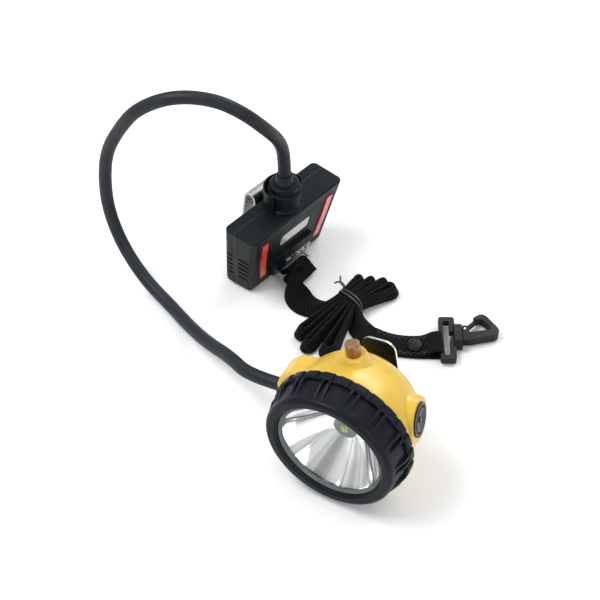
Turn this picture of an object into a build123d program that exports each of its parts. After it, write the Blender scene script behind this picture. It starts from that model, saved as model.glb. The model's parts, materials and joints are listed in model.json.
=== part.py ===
from build123d import *
import math
import os

# A miner's cap lamp: a headpiece, a stiff rubber cord, a rear battery pack and a safety strap.
# Frame: +Z up, -Y is the way the lamp shines, origin under the middle of headpiece and pack.
# All sizes are in millimetres.

# ---- driving dimensions: places ----
HEAD_AT = (47.3, -72.2, 40.0)
HEAD_ROLL = -10.0
PACK_AT = (-59.2, 51.8, 0.0)
PACK_TURN = 78.0

# ---- driving dimensions: headpiece (X right, Y back from the bezel's rear face, Z up) ----
BEZEL_R = 40.0
BEZEL_WALL_R = 37.6
LIP_R = 37.2
RIM_R = 38.7
RIB_R = 39.3
LENS_OPENING_R = 30.0
BEZEL_DEPTH = 20.0
TOOTH_COUNT = 26
TOOTH_WIDTH = 6.8
TOOTH_FRONT_Y = -5.2
RIB_COUNT = 15
RIB_WIDTH = 5.4
RIDGE_WIDTH = 1.5
LENS_R = 32.4
LENS_THICK = 2.6
LENS_FRONT_Y = -16.2
NECK_R = 34.4
NECK_FRONT_Y = -12.2
HOUSING_R = 37.0
HOUSING_DEPTH = 34.0
WALL = 2.4
REFLECTOR_FOCUS = 10.0
REFLECTOR_R = 30.6
REFLECTOR_HOLE_R = 7.6
REFLECTOR_THICK = 1.2
POST_R = 7.0
BOSS_Y = 16.0
CONTACT_R = 4.0
CONTACT_X = 1.5
CONTACT_COLLAR_TOP = 38.2
CONTACT_TOP = 46.0
SWITCH_Z = 4.0
SWITCH_TIP_X = 35.2
SWITCH_TILT = 9.0
SWITCH_R = 9.4
BUTTON_R = 7.2
LUG_END_X = -44.0
LUG_Y = 14.0
LUG_Z = 2.0
LUG_OUTLINE = [(-14, 24), (-34, 22), (-40.5, 17), (LUG_END_X, 10), (LUG_END_X, -7), (-30, -14), (-14, -16)]
LUG_FRONT_Y = 6.0
LUG_BACK_Y = 23.0
CLIP_WIDTH = 20.0
CLIP_THICK = 1.2
CLIP_GAP = 6.0
CLIP_TOP = 25.0
CLIP_ROOT = -20.0

# ---- driving dimensions: battery pack (X along the width, Y back, Z up) ----
PACK_HEIGHT = 51.0
PACK_TOP_FRONT = (-12.0, 39.0)
PACK_TOP_BACK = (12.0, 39.6)
PACK_BASE_FRONT = (-0.5, 32.0)
PACK_BASE_BACK = (19.5, 33.5)
PACK_WALL = 2.2
BASE_REAR_CHAMFER = 6.0
SEAM_TOP_Y = 4.3
SEAM_BASE_Y = 10.0
CELL_WIDTH = 46.0
CELL_HEIGHT = 33.0
CELL_THICK = 5.2
GLAND_TOP = 73.0
LENS_MIDDLE_Z = 27.0
PANEL_RISE = 1.2
SHROUD_HEIGHT = 13.0
PACK_CLIP_WIDTH = 22.0
PACK_CLIP_GAP = 6.4
PACK_CLIP_RISE = 27.0

# ---- driving dimensions: cord and strap ----
CORD_D = 7.6
CORD_ROUTE = [
    (-59.2, 51.8, 73), (-59.2, 51.8, 87.5), (-58.7, 45.8, 102.3), (-59.5, 33.2, 119), (-67.5, 23.5, 134),
    (-81.5, 16.5, 142.8), (-102, 8, 143), (-122.7, 2.8, 130), (-136.7, 3.8, 110), (-147.7, 3.8, 89),
    (-151.7, 3.8, 66), (-150.7, 2.8, 43), (-140.7, -0.2, 21), (-121.7, -6.2, 6.5), (-99.7, -14.2, 4),
    (-79.7, -25.2, 7), (-59.7, -36.2, 13.5), (-38.5, -46.0, 22.5), (-19.33, -58.2, 30.28), (0.37, -58.2, 33.76),
]
WEB_WIDTH = 16.0
WEB_THICK = 1.8
FLOOR_GAP = 0.2
RING_X = (-12.6, 10.6)
RING_Z = 7.0
RING_REACH = 7.8
RING_WIRE_R = 0.9
LOOP_R = 2.9
TIE_AT = (-7.0, 37.5)
HANK_ANGLE = 74.0
HANK_BOTTOM = 1.2
HANK_TOP = 14.0
HANK_OUTLINE = [
    (-14.0, 41.0), (-15.2, 57.0), (-12.0, 61.5), (-4.0, 64.5), (4.0, 66.0), (11.5, 64.5), (13.6, 60.0),
    (-0.4, 36.5), (-0.5, 18.0), (5.0, 1.0), (2.5, -5.0), (-12.0, -7.5), (-21.0, -3.5), (-24.0, 2.0),
    (-19.5, 15.0),
]
LEAD_WIDTH = 13.0
LEAD_ROUTE = [(-50, 45), (-48, 37), (-41, 30), (-31, 27), (-22, 28.6), (-15.5, 32.5)]
TAIL_WIDTH = 11.0
TAIL_ROUTE = [(0, 30.5), (5.5, 26), (12.5, 22)]
SEWN_ROUTE = [(8, 22.6), (21.3, 21.4), (34.3, 25.2), (46.5, 30.9)]
SEWN_TOP = 4.2
SNAP_AT = (40.5, 27.2)

# ---- driving dimensions: swivel hook (X along the hook, Y across, Z up from the floor) ----
HOOK_AT = (55.3, 40.0)
HOOK_ANGLE = 28.7
SWIVEL_Y = 2.7
SWIVEL_Z = 4.1
SWIVEL_R = 2.0
RUNNING_GAP = 0.06
BUCKLE_LOW = 2.1
BUCKLE_HIGH = 6.1
HOOK_THICK = 5.0
GATE_THICK = 2.8
GATE_HINGE = (10.0, 7.4)
GATE_PIN_R = 0.7


def head(shape):
    """Place a shape made in the headpiece's frame."""
    return Pos(*HEAD_AT) * Rot(0, HEAD_ROLL, 0) * shape


def pack(shape):
    """Place a shape made in the pack's frame."""
    return Pos(*PACK_AT) * Rot(0, 0, PACK_TURN) * shape


def turned(points):
    """A solid of revolution about the lens axis from (radius, y) points."""
    return revolve(make_face(Polyline(*points, close=True)), Axis.Y)


def along_y(radius, start, end):
    """A round bar on the lens axis."""
    return Pos(0, (start + end) / 2, 0) * Rot(90, 0, 0) * Cylinder(radius, end - start)


def block(low, high):
    """A box from its lowest to its highest corner."""
    middle = [(a + b) / 2 for a, b in zip(low, high)]
    return Pos(*middle) * Box(*[b - a for a, b in zip(low, high)])


def around_axis(shape, count, first_angle):
    """Copies of a shape spaced evenly about the lens axis; the first stands on +X."""
    step = 360 / count
    return [Rot(0, -(first_angle + step * i), 0) * shape for i in range(count)]


# ---------------------------------------------------------------- headpiece
def make_bezel():
    """The screwed ring: rounded lip, tapered wall with paired ribs, and a toothed rim at the back."""
    section = make_face(Polyline(
        (LENS_OPENING_R, -18.4), (LENS_OPENING_R + 1.4, -BEZEL_DEPTH), (LIP_R - 0.6, -BEZEL_DEPTH),
        (BEZEL_WALL_R, TOOTH_FRONT_Y - 0.6), (BEZEL_WALL_R - 0.6, TOOTH_FRONT_Y), (RIM_R, TOOTH_FRONT_Y),
        (RIM_R, 0), (NECK_R + 0.1, 0), (NECK_R + 0.1, NECK_FRONT_Y), (33.2, NECK_FRONT_Y), (33.2, -17.2),
        (LENS_OPENING_R, -17.2), close=True))
    front = section.vertices().group_by(Axis.Y)[0].sort_by(Axis.X)
    section = fillet(front[-1], 2.6)
    front = section.vertices().group_by(Axis.Y)[0].sort_by(Axis.X)
    section = fillet(front[0], 0.9)
    ring = revolve(section, Axis.Y)
    straight_down = -90 + HEAD_ROLL
    for copy in around_axis(make_rib(), RIB_COUNT, straight_down):
        ring += copy
    for copy in around_axis(make_tooth(), TOOTH_COUNT, straight_down):
        ring += copy
    return ring


def make_rib():
    """Two parallel ridges that rise towards the toothed rim."""
    side = make_face(Polyline((35.4, -16.6), (LIP_R - 0.5, -16.6), (RIB_R, -8.5), (RIB_R, TOOTH_FRONT_Y),
                              (35.4, TOOTH_FRONT_Y), close=True))
    ridge = extrude(side, RIDGE_WIDTH)
    offset = RIB_WIDTH / 2 - RIDGE_WIDTH
    return (Pos(0, 0, offset) * ridge) + (Pos(0, 0, -RIB_WIDTH / 2) * ridge)


def make_tooth():
    tooth = block((RIM_R - 0.8, TOOTH_FRONT_Y, -TOOTH_WIDTH / 2), (BEZEL_R + 1, 0, TOOTH_WIDTH / 2))
    crown = turned([(0, TOOTH_FRONT_Y), (BEZEL_R - 0.8, TOOTH_FRONT_Y), (BEZEL_R, TOOTH_FRONT_Y + 1.0),
                    (BEZEL_R, -0.9), (BEZEL_R - 0.7, 0), (0, 0)])
    tooth &= crown
    return chamfer(tooth.edges().filter_by(Axis.Y).sort_by(Axis.X)[-2:], 0.6)


def make_lens():
    lens = along_y(LENS_R, LENS_FRONT_Y, LENS_FRONT_Y + LENS_THICK)
    return chamfer(lens.edges(), 0.3)


def make_lens_gasket():
    return turned([(28.0, -16.5), (29.7, -17.8), (29.7, -17.1), (33.0, -17.1), (33.0, -13.7),
                   (LENS_R + 0.1, -13.7), (LENS_R + 0.1, LENS_FRONT_Y), (28.0, LENS_FRONT_Y)])


def reflector_y(radius):
    """Depth of the paraboloid at a radius; its rim starts just behind the lens."""
    return -13.4 + (REFLECTOR_R ** 2 - radius ** 2) / (4 * REFLECTOR_FOCUS)


def make_reflector():
    radii = [REFLECTOR_HOLE_R + (REFLECTOR_R - REFLECTOR_HOLE_R) * i / 8 for i in range(9)]
    inner = [(r, reflector_y(r)) for r in radii]
    outer = [(r, reflector_y(r) + REFLECTOR_THICK) for r in radii]
    bowl_face = make_face([
        Spline(*inner), Line(inner[-1], outer[-1]), Spline(*outer), Line(outer[0], inner[0])])
    bowl = revolve(bowl_face, Axis.Y)
    flange = turned([(REFLECTOR_R - 0.6, -13.4), (LENS_R, -13.4), (LENS_R, NECK_FRONT_Y),
                     (REFLECTOR_R - 0.6, NECK_FRONT_Y)])
    return bowl + flange


def make_heat_sink():
    sink = along_y(POST_R, 2.4, 12.4) + along_y(17, 12.2, 15.0)
    for copy in around_axis(Pos(14, 17.5, 0) * Rot(90, 0, 0) * Cylinder(1.8, 5.2), 3, 30):
        sink += copy
    return sink


def make_led_board():
    return along_y(6.6, 1.2, 2.4)


def make_led_emitter():
    body = block((-1.9, 0.4, -1.9), (1.9, 1.2, 1.9))
    dome = Pos(0, 0.4, 0) * Sphere(1.5)
    return body + (dome & block((-2, -2, -2), (2, 0.5, 2)))


def make_driver_board():
    board = along_y(17.5, 20.1, 21.7)
    parts = [block((-9, 21.6, 3), (-2, 25.6, 10)), block((2, 21.6, -9), (10, 23.4, -4)),
             block((4, 21.6, 4), (8, 24.0, 9)), block((-10, 21.6, -8), (-5, 23.0, -3))]
    for piece in parts:
        board += piece
    return board


def dome(radius, depth, neck_r, start):
    """The housing's body of revolution, used for its outside and its cavity."""
    side = Spline((radius, start), (radius - 0.7, start + 8), (radius - 2.6, BOSS_Y),
                  (radius - 7.0, depth - 7.0), (radius - 15.5, depth))
    outline = make_face([Line((0, start), (radius, start)), side,
                         Line((radius - 15.5, depth), (0, depth)), Line((0, depth), (0, start))])
    return revolve(outline, Axis.Y) + along_y(neck_r, NECK_FRONT_Y, start)


def switch_frame(shape):
    """Place a shape whose +Z is the switch's outward axis and whose z = 0 is the boss face."""
    direction = Rot(0, 0, SWITCH_TILT) * Rot(0, 90, 0)
    return Pos(SWITCH_TIP_X, BOSS_Y, SWITCH_Z) * direction * shape


def make_lug():
    """The boxy arm beside the shell that the cord runs into."""
    face = make_face(Polyline(*LUG_OUTLINE, close=True))
    arm = Pos(0, LUG_BACK_Y, 0) * Rot(90, 0, 0) * extrude(face, LUG_BACK_Y - LUG_FRONT_Y)
    return fillet([e for e in arm.edges() if e.center().X < -20], 3.0)


def make_lamp_housing():
    outside = dome(HOUSING_R, HOUSING_DEPTH, NECK_R, 0.2)
    outside += switch_frame(Pos(0, 0, -9) * Cone(16.5, 12.2, 18))
    outside += make_lug()
    outside += Pos(CONTACT_X, BOSS_Y + 1, 34.6) * Cone(9.5, 6.6, 2 * (CONTACT_COLLAR_TOP - 34.6))
    outside += block((-11, 28, -22), (11, HOUSING_DEPTH + 1.2, 2))
    cavity = dome(HOUSING_R - WALL, HOUSING_DEPTH - WALL, NECK_R - WALL, 0.2 + WALL)
    shell = outside - cavity
    shell -= switch_frame(Pos(0, 0, -3.4) * Cylinder(SWITCH_R, 6.8))
    shell -= switch_frame(Pos(0, 0, -10) * Cylinder(5.6, 22))
    shell -= Pos(CONTACT_X, BOSS_Y + 1, 34) * Cylinder(CONTACT_R - 1, 14)
    shell -= Pos(-38, LUG_Y, LUG_Z) * Rot(0, 90, 0) * Cylinder(5.2, 24)
    for x in (-6, 6):
        shell -= Pos(x, 33, -10) * Rot(90, 0, 0) * Cylinder(1.2, 6)
    return shell


def make_switch_ring():
    ring = Cylinder(SWITCH_R, 2.2) - Cylinder(BUTTON_R + 0.3, 3)
    ring = Pos(0, 0, -0.3) * ring
    return switch_frame(ring)


def make_switch_button():
    profile = Polyline((0, -3.6), (BUTTON_R, -3.6), (BUTTON_R, 0.2), (BUTTON_R - 0.8, 1.0),
                       (BUTTON_R - 1.6, 0.9), (1.6, 0.1), (1.5, 0.9), (0, 0.9), close=True)
    cap = revolve(make_face(Plane.XZ * profile), Axis.Z)
    stem = Pos(0, 0, -4.5) * Cylinder(2.0, 2.2)
    return switch_frame(cap + stem)


def make_switch_spring():
    coil_height = 3.0
    coil = Helix(1.0, coil_height, 3.4)
    wire = sweep(Plane(coil @ 0, z_dir=coil % 0) * Circle(0.3), path=coil)
    return switch_frame(Pos(0, 0, -6.9) * wire)


def make_switch_body():
    seat = Pos(0, 0, -8.6) * Cylinder(5.4, 2.6)
    case = Pos(0, 0, -12.4) * Box(8, 8, 5)
    return switch_frame(seat + case)


def make_charge_contact():
    outline = Polyline((0, CONTACT_COLLAR_TOP), (CONTACT_R, CONTACT_COLLAR_TOP),
                       (CONTACT_R, CONTACT_TOP - 1), (CONTACT_R - 1, CONTACT_TOP), (0, CONTACT_TOP),
                       close=True)
    head_part = revolve(make_face(Plane.XZ * outline), Axis.Z)
    stud = Pos(0, 0, 33) * Cylinder(CONTACT_R - 1, 11)
    return Pos(CONTACT_X, BOSS_Y + 1, 0) * (head_part + stud)


def make_contact_nut():
    nut = extrude(RegularPolygon(4.2, 6), 2.2) - Cylinder(CONTACT_R - 1, 8)
    return Pos(CONTACT_X, BOSS_Y + 1, 27.6) * nut


def make_lamp_grommet():
    profile = Polyline((0, 0), (5.2, 0), (5.2, 8.2), (6.2, 8.2), (6.2, 10), (CORD_D / 2 + 0.6, 11.5),
                       (0, 11.5), close=True)
    sleeve = revolve(make_face(Plane.XZ * profile), Axis.Z)
    return Pos(LUG_END_X + 8.2, LUG_Y, LUG_Z) * Rot(0, -90, 0) * sleeve


def make_lamp_clip():
    inner_y = HOUSING_DEPTH + 1.2
    outer_y = inner_y + CLIP_THICK + CLIP_GAP
    bend_y = (inner_y + outer_y + CLIP_THICK) / 2
    bend_r = (outer_y + CLIP_THICK - inner_y) / 2
    half = CLIP_WIDTH / 2
    strip = block((-half, inner_y, CLIP_ROOT), (half, inner_y + CLIP_THICK, 0))
    strip += block((-half, outer_y, CLIP_ROOT), (half, outer_y + CLIP_THICK, CLIP_TOP))
    bend = Cylinder(bend_r, CLIP_WIDTH) - Cylinder(bend_r - CLIP_THICK, CLIP_WIDTH + 1)
    bend &= block((-20, -20, -20), (0, 20, 20))
    strip += Pos(0, bend_y, CLIP_ROOT) * Rot(0, -90, 0) * bend
    tongue_tip = strip.edges().filter_by(Axis.Y).group_by(Axis.Z)[-1]
    strip = fillet(tongue_tip, 6)
    for x in (-6, 6):
        strip -= Pos(x, inner_y + 1, -10) * Rot(90, 0, 0) * Cylinder(1.6, 6)
    return strip


def make_lamp_clip_screws():
    face_y = HOUSING_DEPTH + 1.2 + CLIP_THICK
    screws = []
    for x in (-6, 6):
        shank = Pos(x, face_y - 2.4, -10) * Rot(90, 0, 0) * Cylinder(1.2, 5)
        cap = Pos(x, face_y + 0.6, -10) * Rot(90, 0, 0) * Cylinder(2.5, 1.2)
        cap -= block((x - 2.6, face_y + 0.8, -10.3), (x + 2.6, face_y + 2, -9.7))
        screws.append(shank + cap)
    return Compound(children=screws)


# ---------------------------------------------------------------- battery pack
def front_y(z):
    """Y of the front face at height z."""
    share = z / PACK_HEIGHT
    return PACK_BASE_FRONT[0] + (PACK_TOP_FRONT[0] - PACK_BASE_FRONT[0]) * share


def back_y(z):
    """Y of the back face at height z."""
    share = z / PACK_HEIGHT
    return PACK_BASE_BACK[0] + (PACK_TOP_BACK[0] - PACK_BASE_BACK[0]) * share


def side_x(z):
    """Half width of the side faces, mid depth, at height z."""
    top = (PACK_TOP_FRONT[1] + PACK_TOP_BACK[1]) / 2
    base = (PACK_BASE_FRONT[1] + PACK_BASE_BACK[1]) / 2
    return base + (top - base) * z / PACK_HEIGHT


FACE_TILT = math.degrees(math.atan2(PACK_BASE_FRONT[0] - PACK_TOP_FRONT[0], PACK_HEIGHT))
BACK_TILT = math.degrees(math.atan2(PACK_BASE_BACK[0] - PACK_TOP_BACK[0], PACK_HEIGHT))


def on_front(shape, x, z):
    """Place a shape on the front face: its +Z points out of the face and its +Y up it."""
    return Pos(x, front_y(z), z) * Rot(90 + FACE_TILT, 0, 0) * shape


def on_back(shape, x, z):
    """Place a shape on the back face: its +Z points out of the face and its +Y up it."""
    return Pos(x, back_y(z), z) * Rot(90 + BACK_TILT, 0, 0) * Rot(0, 180, 0) * shape


def pack_block(inset):
    """The leaning, tapered block of the pack, moved in by inset all round."""
    def outline(front, back, z):
        points = [(-front[1] + inset, front[0] + inset), (front[1] - inset, front[0] + inset),
                  (back[1] - inset, back[0] - inset), (-back[1] + inset, back[0] - inset)]
        return Pos(0, 0, z) * make_face(Polyline(*points, close=True))
    low = outline(PACK_BASE_FRONT, PACK_BASE_BACK, inset)
    high = outline(PACK_TOP_FRONT, PACK_TOP_BACK, PACK_HEIGHT - inset)
    return loft([low, high])


def seam_plane():
    """The parting plane between front and rear shell, its normal pointing back."""
    lean = math.atan2(SEAM_BASE_Y - SEAM_TOP_Y, PACK_HEIGHT)
    return Plane(origin=(0, SEAM_TOP_Y, PACK_HEIGHT), x_dir=(1, 0, 0),
                 z_dir=(0, math.cos(lean), math.sin(lean)))


def pack_outside():
    body = pack_block(0)
    base_edges = body.edges().group_by(Axis.Z)[0].sort_by(Axis.Y)
    body = chamfer(base_edges[-1], BASE_REAR_CHAMFER)
    base_edges = body.edges().group_by(Axis.Z)[0].sort_by(Axis.Y)
    body = chamfer(base_edges[:-1], 2.6)
    upright = [e for e in body.edges() if abs((e % 0.5).Z) > 0.8 and e.length > 20]
    body = fillet(upright, 3.5)
    top_edges = body.edges().group_by(Axis.Z)[-1]
    body = fillet(top_edges, 1.4)
    panel = Pos(0, 0, -1.5) * extrude(RectangleRounded(60, 42, 3), 1.5 + PANEL_RISE)
    return body + on_back(panel, 0, 27)


def side_grooves():
    """Five grip grooves each side of the seam on both end faces."""
    cuts = []
    for side in (-1, 1):
        for i in range(5):
            z = 12 + 4.2 * i
            seam_y = SEAM_BASE_Y + (SEAM_TOP_Y - SEAM_BASE_Y) * z / PACK_HEIGHT
            x = side * side_x(z)
            cuts.append(Pos(x, (front_y(z) + seam_y) / 2, z) * Box(2.2, seam_y - front_y(z) - 5, 1.5))
            cuts.append(Pos(x, (back_y(z) + seam_y) / 2, z) * Box(2.2, back_y(z) - seam_y - 4, 1.5))
    return cuts


def make_pack_shells():
    body = pack_outside() - pack_block(PACK_WALL)
    for cut in side_grooves():
        body -= cut
    window = Pos(0, 0, -3) * extrude(RectangleRounded(25.4, 9.4, 2.6), 5)
    body -= on_front(window, 0, 33)
    for side in (-1, 1):
        body -= on_front(Pos(0, 0, -0.9) * extrude(lens_outline(side, 0.1), 2), 0, LENS_MIDDLE_Z)
    body += on_front(Pos(0, 0, -1) * extrude(RectangleRounded(35, 16, 3), 3.6), 0, 13.5)
    body -= on_front(Pos(0, 0, 1.6) * extrude(RectangleRounded(22.4, 5.4, 1), 3), 5, 10.5)
    for x in (-3, 13):
        body -= on_front(Pos(0, 0, -2) * Cylinder(0.9, 9), x, 10.5)
    for x in RING_X:
        body -= on_front(Cylinder(RING_WIRE_R, 9), x, RING_Z)
    body -= Pos(0, 0, PACK_HEIGHT) * Cylinder(6.0, 8)
    for x in (-6, 6):
        body -= on_back(Pos(x, 0, 0) * Cylinder(1.2, 8), 0, 27)
    for x in (-26, 26):
        for z in (12, 42):
            body -= on_back(Cylinder(1.3, 12), x, z)
            body -= on_back(Pos(0, 0, 1.7) * Cylinder(2.6, 2.0), x, z)
    seam = seam_plane()
    gap = 0.4
    front_half = split(body, seam.offset(-gap), keep=Keep.BOTTOM)
    rear_half = split(body, seam.offset(gap), keep=Keep.TOP)
    middle = split(split(body, seam.offset(-gap), keep=Keep.TOP), seam.offset(gap), keep=Keep.BOTTOM)
    return front_half, rear_half, middle


def lens_outline(side, grow):
    """A slightly bowed upright strip near the edge of the front face."""
    half = 2.4 + grow
    top = 17.0 + grow
    lean = 2.2
    points = [(26 + lean - half, top), (26 + lean + half, top), (26 + half + 0.8, 0),
              (26 - lean + half, -top), (26 - lean - half, -top), (26 - half + 0.8, 0)]
    if side < 0:
        points = [(-x, y) for x, y in reversed(points)]
    return make_face(Polyline(*points, close=True))


def make_warning_lens(side):
    strip = Pos(0, 0, -0.8) * extrude(lens_outline(side, 0), 1.4)
    return on_front(strip, 0, LENS_MIDDLE_Z)


def make_display_window():
    plate = Pos(0, 0, -1.6) * extrude(RectangleRounded(25.2, 9.2, 2.5), 1.4)
    return on_front(plate, 0, 33)


def make_display_module():
    module = Pos(0, 0, -4.6) * extrude(RectangleRounded(28, 11, 0.6), 2.3)
    return on_front(module, 0, 33)


def make_cells():
    cell = fillet(Box(CELL_WIDTH, CELL_HEIGHT, CELL_THICK).edges().filter_by(Axis.Z), 2)
    rear = Pos(0, 0, -PACK_WALL - 0.3 - CELL_THICK / 2) * cell
    front = Pos(0, 0, -PACK_WALL - 0.5 - 1.5 * CELL_THICK) * cell
    return on_back(rear + front, 0, 23)


def make_protection_board():
    board = block((-26, -4.5, 44.4), (26, 8.5, 45.6))
    for x in (-18, -8, 12):
        board += block((x, -2, 45.5), (x + 6, 3, 47.4))
    return board


def make_gland_body():
    profile = Polyline((0, 51), (11.6, 51), (11.6, 51.9), (10.2, 52.8), (10.2, 62), (9.4, 62.8),
                       (0, 62.8), close=True)
    body = revolve(make_face(Plane.XZ * profile), Axis.Z)
    return body + Pos(0, 0, 49.5) * Cylinder(6.0, 3.2)


def make_gland_nut():
    profile = Polyline((0, 62.8), (8.8, 62.8), (8.8, 66.2), (7.6, 67.2), (0, 67.2), close=True)
    return revolve(make_face(Plane.XZ * profile), Axis.Z)


def make_gland_sleeve():
    profile = Polyline((0, 67.2), (5.6, 67.2), (4.6, GLAND_TOP), (0, GLAND_TOP), close=True)
    return revolve(make_face(Plane.XZ * profile), Axis.Z)


def make_gland_shroud():
    """The wrap-round collar that stands behind the gland, open to the front."""
    ring = Pos(0, 0, PACK_HEIGHT + SHROUD_HEIGHT / 2) * (Cylinder(12.6, SHROUD_HEIGHT) - Cylinder(11.7, 30))
    ring &= block((-14, -2.0, PACK_HEIGHT), (14, 14, 70))
    return chamfer(ring.edges().group_by(Axis.Z)[-1], 0.3)


def make_pack_clip():
    half = PACK_CLIP_WIDTH / 2
    inner = PANEL_RISE
    outer = inner + CLIP_THICK + PACK_CLIP_GAP
    bend_r = (outer + CLIP_THICK - inner) / 2
    bend_y = PACK_CLIP_RISE - bend_r
    strip = block((-half, -7, inner), (half, bend_y, inner + CLIP_THICK))
    strip += block((-half, -14, outer), (half, bend_y, outer + CLIP_THICK))
    bend = Cylinder(bend_r, PACK_CLIP_WIDTH) - Cylinder(bend_r - CLIP_THICK, PACK_CLIP_WIDTH + 1)
    bend &= block((-20, 0, -20), (20, 20, 20))
    strip += Pos(0, bend_y, inner + bend_r) * Rot(0, 90, 0) * bend
    for x in (-6, 6):
        strip -= Pos(x, 0, inner) * Cylinder(1.5, 6)
    return on_back(strip, 0, 27)


def make_pack_clip_screws():
    screws = []
    face = PANEL_RISE + CLIP_THICK
    for x in (-6, 6):
        screw = Pos(x, 0, face - 2.3) * Cylinder(1.2, 5.0) + Pos(x, 0, face + 0.5) * Cylinder(2.4, 1.0)
        screw -= Pos(x, 0, face + 1.0) * Box(6, 0.6, 0.8)
        screws.append(on_back(screw, 0, 27))
    return Compound(children=screws)


def make_case_screws():
    screws = []
    for x in (-26, 26):
        for z in (12, 42):
            screw = Pos(0, 0, -2.5) * Cylinder(1.3, 6.6) + Pos(0, 0, 1.3) * Cylinder(2.5, 1.2)
            screw -= Pos(0, 0, 1.9) * (Box(3, 0.6, 1) + Box(0.6, 3, 1))
            screws.append(on_back(screw, x, z))
    return Compound(children=screws)


def make_anchor_plate():
    plate = Pos(0, 0, 1.6) * extrude(RectangleRounded(22, 5.0, 1), 1.3)
    for x in (-8, 8):
        plate -= Pos(x, 0, 0) * Cylinder(1.3, 9)
    return on_front(plate, 5, 10.5)


def make_anchor_screws():
    screws = []
    for x in (-8, 8):
        screw = Pos(x, 0, 0.9) * Cylinder(0.9, 4.6) + Pos(x, 0, 3.4) * Cylinder(1.7, 0.9)
        screws.append(on_front(screw, 5, 10.5))
    return screws[0] + screws[1]


# ---------------------------------------------------------------- cord
def cord_radii(points):
    """The bend radius at each corner: 0.45 of the shorter run over the tangent of half the turn."""
    radii = []
    for before, here, after in zip(points, points[1:], points[2:]):
        run_in = Vector(*here) - Vector(*before)
        run_out = Vector(*after) - Vector(*here)
        half_turn = math.radians(run_in.get_angle(run_out)) / 2
        radii.append(0.45 * min(run_in.length, run_out.length) / math.tan(half_turn))
    return radii


def make_power_cord():
    radii = cord_radii(CORD_ROUTE)
    path = FilletPolyline(*CORD_ROUTE, radius=radii)
    section = Plane(path @ 0, z_dir=path % 0) * Circle(CORD_D / 2)
    tube = sweep(section, path=path)
    print("cord radii", [round(r) for r in radii])
    print("cord length", round(path.length, 1), "volume", round(tube.volume),
          "section x length", round(path.length * math.pi * CORD_D ** 2 / 4))
    return tube


# ---------------------------------------------------------------- strap
def ribbon(route, width, low, thickness):
    """A flat band of webbing lying along a plan route."""
    band = trace(Polyline(*route), width)
    return Pos(0, 0, low) * extrude(band, thickness)


def make_strap_ring():
    """A wire staple in front of the anchor: two legs into the boss and a bar for the webbing."""
    wire = Pos(0, 0, RING_REACH) * Rot(0, 90, 0) * Cylinder(RING_WIRE_R, RING_X[1] - RING_X[0] + 2)
    wire = Pos((RING_X[0] + RING_X[1]) / 2, 0, 0) * wire
    leg_root = -0.6
    for x in RING_X:
        wire += Pos(x, 0, (leg_root + RING_REACH) / 2) * Cylinder(RING_WIRE_R, RING_REACH - leg_root)
    return on_front(wire, 0, RING_Z)


def make_strap_loop():
    """The webbing's end, sewn round the staple's bar, with its short cut end beyond."""
    bar = Pos((RING_X[0] + RING_X[1]) / 2, 0, RING_REACH) * Rot(0, 90, 0)
    wrap = bar * (Cylinder(LOOP_R, WEB_WIDTH) - Cylinder(RING_WIRE_R + 0.05, WEB_WIDTH + 2))
    cut_end = block((-7, -19, FLOOR_GAP), (6, -11, 3.6))
    return pack(on_front(wrap, 0, RING_Z) + cut_end)


def make_hank():
    outline = make_face(Polyline(*HANK_OUTLINE, close=True))
    return Pos(0, 0, HANK_BOTTOM) * extrude(outline, HANK_TOP - HANK_BOTTOM)


def make_sewn_end():
    """The doubled, sewn stretch, with the loop that holds the buckle's bar."""
    band = ribbon(SEWN_ROUTE, WEB_WIDTH, FLOOR_GAP, SEWN_TOP - FLOOR_GAP)
    loop = block((-6.4, -12.2, 0.8), (-1.1, 4.0, 7.4)) - block((-5.2, -13, 1.9), (-2.2, 5, 6.3))
    bridge = block((-16, -11.5, 0.8), (-6, 3.0, SEWN_TOP))
    return band + hook(loop + bridge)


def make_strap_webbing():
    webbing = make_strap_loop() + ribbon(LEAD_ROUTE, LEAD_WIDTH, FLOOR_GAP, WEB_THICK)
    webbing += make_hank()
    webbing += ribbon(TAIL_ROUTE, TAIL_WIDTH, FLOOR_GAP, WEB_THICK)
    return webbing + make_sewn_end()


def make_twist_tie():
    middle = (HANK_BOTTOM + HANK_TOP) / 2
    height = HANK_TOP - HANK_BOTTOM
    band = Box(2.0, 19.0, height + 1.8) - Box(3, 17.8, height + 0.4)
    twist = Pos(0, 4, height / 2 + 2.4) * Rot(-50, 0, 0) * Cylinder(0.9, 6)
    return Pos(*TIE_AT, middle) * Rot(0, 0, HANK_ANGLE) * (band + twist)


def make_snap_fastener():
    profile = Polyline((0, 4.2), (4.6, 4.2), (4.6, 4.9), (3.6, 5.8), (1.2, 6.0), (0, 5.6), close=True)
    cap = revolve(make_face(Plane.XZ * profile), Axis.Z)
    return Pos(*SNAP_AT, 0) * cap


# ---------------------------------------------------------------- swivel hook
def hook(shape):
    """Place a shape made in the hook's frame."""
    return Pos(*HOOK_AT, 0) * Rot(0, 0, HOOK_ANGLE) * shape


def along_hook(radius, start, end):
    """A round bar on the swivel axis."""
    return Pos((start + end) / 2, SWIVEL_Y, SWIVEL_Z) * Rot(0, 90, 0) * Cylinder(radius, end - start)


def make_swivel_base():
    frame = block((-5.0, -16.2, BUCKLE_LOW), (4.2, 16.8, BUCKLE_HIGH))
    frame = fillet(frame.edges().filter_by(Axis.Z), 1.6)
    frame -= block((-2.4, -12.8, 0), (1.0, 13.4, 9))
    drum = block((3.4, SWIVEL_Y - 8.4, 0.2), (8.2, SWIVEL_Y + 8.4, 8.0))
    drum = fillet(drum.edges().filter_by(Axis.X), 3.0)
    base = frame + drum
    base -= along_hook(3.3, 1.0, 5.2)
    return base - along_hook(SWIVEL_R + RUNNING_GAP, 5.0, 9.0)


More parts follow.
